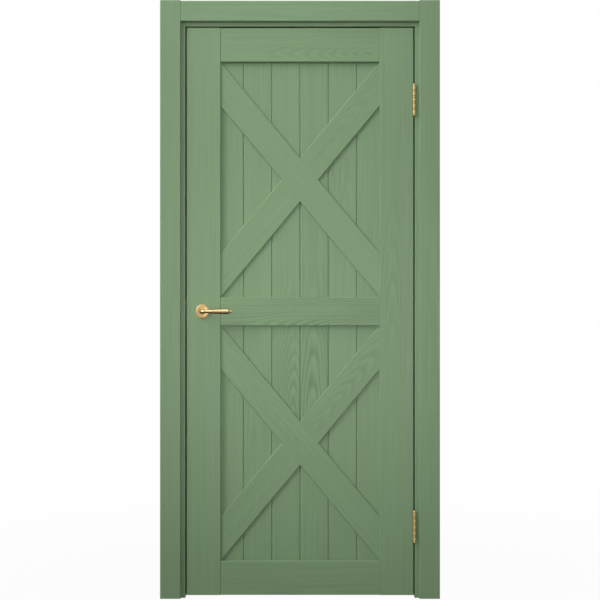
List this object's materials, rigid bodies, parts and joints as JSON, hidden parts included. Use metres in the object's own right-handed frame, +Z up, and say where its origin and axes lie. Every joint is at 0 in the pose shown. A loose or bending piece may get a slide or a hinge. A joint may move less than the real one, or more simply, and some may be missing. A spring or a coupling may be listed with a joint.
{
  "type": "interior door",
  "caption": "Painted interior door with boarded panels and crossed braces, on butt hinges in a rebated frame with casings; its lever draws a sprung latch.",
  "frame": {"origin": "on the floor, midway across the casings, in the middle of the leaf's thickness and of the whole depth", "axes": "+X to the hinge side, +Y away from the side that the leaf opens to, +Z up"},
  "size_m": [0.984, 0.1514, 2.1045],
  "materials": {
    "green_paint": "satin",
    "brass": "satin",
    "steel": "satin",
    "seal": "matte",
    "dowel_wood": "matte"
  },
  "bodies": {
    "frame": {"hinge_jamb": "green_paint", "lock_jamb": "green_paint", "head_jamb": "green_paint", "frame_seal": "seal", "strike_plate": "brass", "strike_screws": "brass", "hinge_frame_screws": "brass", "front_casing_left": "green_paint", "front_casing_right": "green_paint", "front_casing_head": "green_paint", "back_casing_left": "green_paint", "back_casing_right": "green_paint", "back_casing_head": "green_paint", "upper_hinge_frame_leaf": "brass", "upper_hinge_pin": "brass", "upper_hinge_bearings": "brass", "lower_hinge_frame_leaf": "brass", "lower_hinge_pin": "brass", "lower_hinge_bearings": "brass"},
    "door_leaf": {"hinge_stile": "green_paint", "lock_stile": "green_paint", "top_rail": "green_paint", "bottom_rail": "green_paint", "rail_dowels": "dowel_wood", "board_1": "green_paint", "board_2": "green_paint", "board_3": "green_paint", "board_4": "green_paint", "board_5": "green_paint", "board_6": "green_paint", "front_ledge": "green_paint", "back_ledge": "green_paint", "upper_front_brace_through": "green_paint", "upper_front_brace_left": "green_paint", "upper_front_brace_right": "green_paint", "upper_back_brace_through": "green_paint", "upper_back_brace_left": "green_paint", "upper_back_brace_right": "green_paint", "lower_front_brace_through": "green_paint", "lower_front_brace_left": "green_paint", "lower_front_brace_right": "green_paint", "lower_back_brace_through": "green_paint", "lower_back_brace_left": "green_paint", "lower_back_brace_right": "green_paint", "upper_hinge_door_leaf": "brass", "lower_hinge_door_leaf": "brass", "hinge_door_screws": "brass", "latch_case": "steel", "latch_faceplate": "brass", "latch_screws": "brass", "latch_spring": "steel", "front_rose": "brass", "back_rose": "brass", "rose_plates": "steel", "rose_bolts": "steel"},
    "lever_set": {"front_lever": "brass", "back_lever": "brass", "spindle": "steel", "latch_follower": "steel"},
    "bolt": {"latch_bolt": "brass"}
  },
  "joints": [
    {"name": "leaf_swing", "type": "hinge", "parent": "frame", "child": "door_leaf", "pos_m": [0.4025, -0.0265, 1], "axis": [0, 0, 1], "range_deg": [0, 170]},
    {"name": "lever_turn", "type": "hinge", "parent": "door_leaf", "child": "lever_set", "pos_m": [-0.3445, 0, 1.01], "axis": [0, 1, 0], "range_deg": [0, 45], "stiffness_Nm_per_rad": 1.5, "springref_deg": -28.65},
    {"name": "bolt_slide", "type": "slide", "parent": "door_leaf", "child": "bolt", "axis": [1, 0, 0], "range_m": [0, 0.012], "deforming": ["latch_spring"]}
  ],
  "couplings": [
    {"joint": "bolt_slide", "follows": "lever_turn", "m_per_rad": 0.015278}
  ]
}
